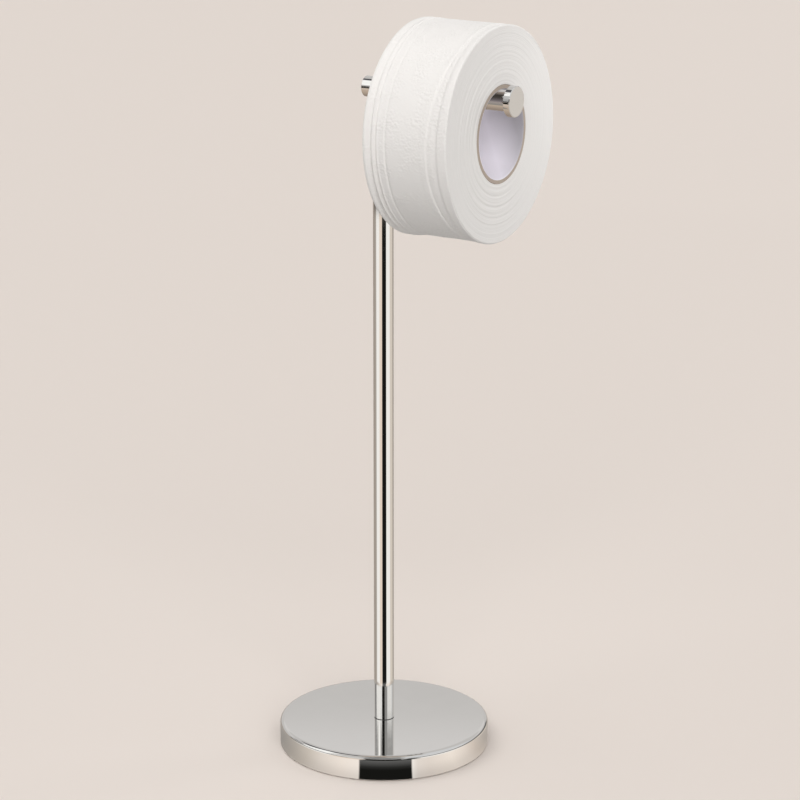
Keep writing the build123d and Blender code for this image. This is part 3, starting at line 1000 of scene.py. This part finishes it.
def room_colour(tree):
    """The colour that mirrors see in each direction of the room, from its bearing and its elevation."""
    away = node(tree, "TexCoord").outputs["Generated"]
    camera = math.radians(CAMERA_BEARING)
    near = reach_along(tree, away, (math.cos(camera), math.sin(camera), 0))
    right = reach_along(tree, away, (-math.sin(camera), math.cos(camera), 0))
    up = reach_along(tree, away, (0, 0, 1))
    bearing = calc(tree, "DEGREES", calc(tree, "ARCTAN2", right, near))
    elevation = calc(tree, "DEGREES", calc(tree, "ARCSINE", up))
    colour = with_alpha(ROOM_COLOUR)
    for patch, first, last, low, high, side_fade, height_fade in ROOM_PATCHES:
        sideways = between(tree, bearing, first, last, side_fade)
        upwards = between(tree, elevation, low, high, height_fade)
        colour = mixed(tree, calc(tree, "MULTIPLY", sideways, upwards), colour, with_alpha(patch))
    return colour


def backdrop(tree, colour, strength=1.0):
    """A Background shader."""
    return node(tree, "Background", {"Color": colour, "Strength": strength}).outputs[0]


def add_lamp(name, kind, strength, direction):
    """A lamp that shines from a direction, and that neither the camera nor a mirror sees."""
    x, y, z = direction
    data = bpy.data.lights.new(name, kind)
    data.energy = strength
    made = bpy.data.objects.new(name, data)
    made.rotation_euler = (math.atan2(math.hypot(x, y), z), 0.0, math.atan2(x, -y))
    made.visible_camera = made.visible_glossy = False
    bpy.context.scene.collection.objects.link(made)
    return made


class HOLDER_OT_stage(bpy.types.Operator):
    """Builds the floor, the cards that the steel mirrors, the lamps, the room light and the camera"""

    bl_idname = "holder.stage"
    bl_label = "Stage"

    def execute(self, context):
        settings = context.scene.holder_stage
        self.make_floor(settings)
        self.make_cards()
        self.make_lamps(settings)
        self.make_room(context, settings)
        self.make_camera(context, settings)
        context.scene.view_settings.view_transform = "Standard"
        return {"FINISHED"}

    def make_floor(self, settings):
        """A wide plain floor."""
        floor = disc_grid("floor", FLOOR_RADII, np.linspace(-180, 180, FLOOR_COUNT), 0.0)
        material, tree, shader = new_finish("floor_paint", Roughness=0.9, Specular_IOR_Level=0.1)
        path = node(tree, "LightPath").outputs["Is Diffuse Ray"]
        colour, bounced = with_alpha(settings.floor_colour), with_alpha(settings.bounced_colour)
        wire(tree, shader, Base_Color=mixed(tree, path, colour, bounced))
        floor.data.materials.append(material)

    def make_cards(self):
        """Cards that only the steel sees: on the floor for the pole and the base's wall, and near the arm."""
        bearings = np.linspace(-180, 180, POLE_CARD_COUNT)
        made = disc_grid("pole_card", POLE_CARD_RADII, bearings, POLE_CARD_HEIGHT)
        near, far = card_colours(POLE_CARDS, bearings), card_colours(FAR_CARDS, bearings)
        paint_card(made, np.stack((near, near, near, far, far), 1).reshape(-1, 4))
        self.make_wall_card()
        for name, lines in ARM_CARDS.items():
            striped_card(name, lines)

    def make_wall_card(self):
        """The card for the base's wall: near it the pale parts darken in a painted shadow of the base, and
        far off the black ones pale.
        """
        places = np.linspace(-180, 180, WALL_CARD_COUNT)
        reaches = np.array(WALL_CARD_REACHES) * MM
        made = wall_card_grid("wall_card", reaches, places, WALL_CARD_HEIGHT)
        colours = card_colours(WALL_CARDS, places)[:, None, :] * np.ones((1, len(reaches), 1))
        lit = np.clip(colours[:, :, :1] / 0.3, 0, 1)
        high = step(reaches, 0, 40 * MM)[None, :, None]
        haze = WALL_CARD_HAZE * step(reaches, 26 * MM, 52 * MM)[None, :, None] * (1 - lit)
        # Painted shadow of the base: the pale parts darken near the wall
        colours[:, :, :3] = colours[:, :, :3] * (1 - WALL_CARD_SHADE * lit * (1 - high)) + haze
        paint_card(made, colours.reshape(-1, 4))

    def make_lamps(self, settings):
        """Two wide soft lamps far away, and a small one from which the roll's end face grows paler."""
        key, fill = settings.key_strength, settings.fill_strength
        far_lamps = ("key_lamp", key, *KEY_LAMP), ("fill_lamp", fill, *FILL_LAMP)
        for name, strength, direction, spread in far_lamps:
            lamp = add_lamp(name, "SUN", strength, direction)
            lamp.data.angle = math.radians(spread)
            lamp.data.color = LAMP_COLOUR
        place, direction, size = SIDE_LAMP
        lamp = add_lamp("side_lamp", "AREA", settings.side_strength, direction)
        lamp.data.size = size
        lamp.location = place

    def make_room(self, context, settings):
        """Even light from all round, a plain background for the camera, and a room of patches for mirrors."""
        world = bpy.data.worlds.new("room")
        context.scene.world = world
        world.use_nodes = True
        tree = world.node_tree
        tree.nodes.clear()
        path = node(tree, "LightPath").outputs
        seen = calc(tree, "MAXIMUM", path["Is Camera Ray"], path["Is Transmission Ray"])
        light = backdrop(tree, with_alpha(LAMP_COLOUR), settings.sky_strength)
        plain = backdrop(tree, with_alpha(settings.backdrop_colour))
        mirrored = backdrop(tree, room_colour(tree))
        either = node(tree, "MixShader", {0: path["Is Glossy Ray"], 1: light, 2: mirrored})
        both = node(tree, "MixShader", {0: seen, 1: either.outputs[0], 2: plain})
        node(tree, "OutputWorld", {"Surface": both.outputs[0]})

    def make_camera(self, context, settings):
        """The camera at the photograph's viewing angle."""
        data = bpy.data.cameras.new("camera")
        data.lens, data.sensor_width = settings.lens, SENSOR_WIDTH
        made = bpy.data.objects.new("camera", data)
        made.location = CAMERA_PLACE
        made.rotation_euler = (math.pi / 2 - CAMERA_PITCH, 0, CAMERA_TURN)
        context.scene.collection.objects.link(made)
        context.scene.camera = made


class HOLDER_PT_panel(bpy.types.Panel):
    """Lists the steps and their settings"""

    bl_label = "Paper holder"
    bl_idname = "HOLDER_PT_panel"
    bl_space_type = "VIEW_3D"
    bl_region_type = "UI"
    bl_category = "Paper holder"

    def draw(self, context):
        layout = self.layout
        for step_class in STEPS:
            layout.operator(step_class.bl_idname)
        for key in SETTINGS:
            box = layout.box()
            group = getattr(context.scene, key)
            for name in group.bl_rna.properties.keys():
                if name not in ("rna_type", "name"):
                    box.prop(group, name)


SETTINGS = {
    "holder_paper": PaperSettings,
    "holder_core": CoreSettings,
    "holder_metal": MetalSettings,
    "holder_stage": StageSettings,
}
STEPS = (
    HOLDER_OT_stage,
    HOLDER_OT_polished_parts,
    HOLDER_OT_hidden_parts,
    HOLDER_OT_roll_core,
    HOLDER_OT_paper_roll,
)
CLASSES = (*SETTINGS.values(), *STEPS, HOLDER_PT_panel)


def register():
    """Registers the classes and hangs the settings on the scene."""
    for made in CLASSES:
        bpy.utils.register_class(made)
    for key, group in SETTINGS.items():
        setattr(bpy.types.Scene, key, PointerProperty(type=group))


def unregister():
    """Takes the settings and the classes away again."""
    for key in SETTINGS:
        delattr(bpy.types.Scene, key)
    for made in reversed(CLASSES):
        bpy.utils.unregister_class(made)


def main():
    register()
    bpy.ops.holder.stage()
    bpy.ops.holder.polished_parts()
    bpy.ops.holder.hidden_parts()
    bpy.ops.holder.roll_core()
    bpy.ops.holder.paper_roll()


if __name__ == "__main__":
    main()
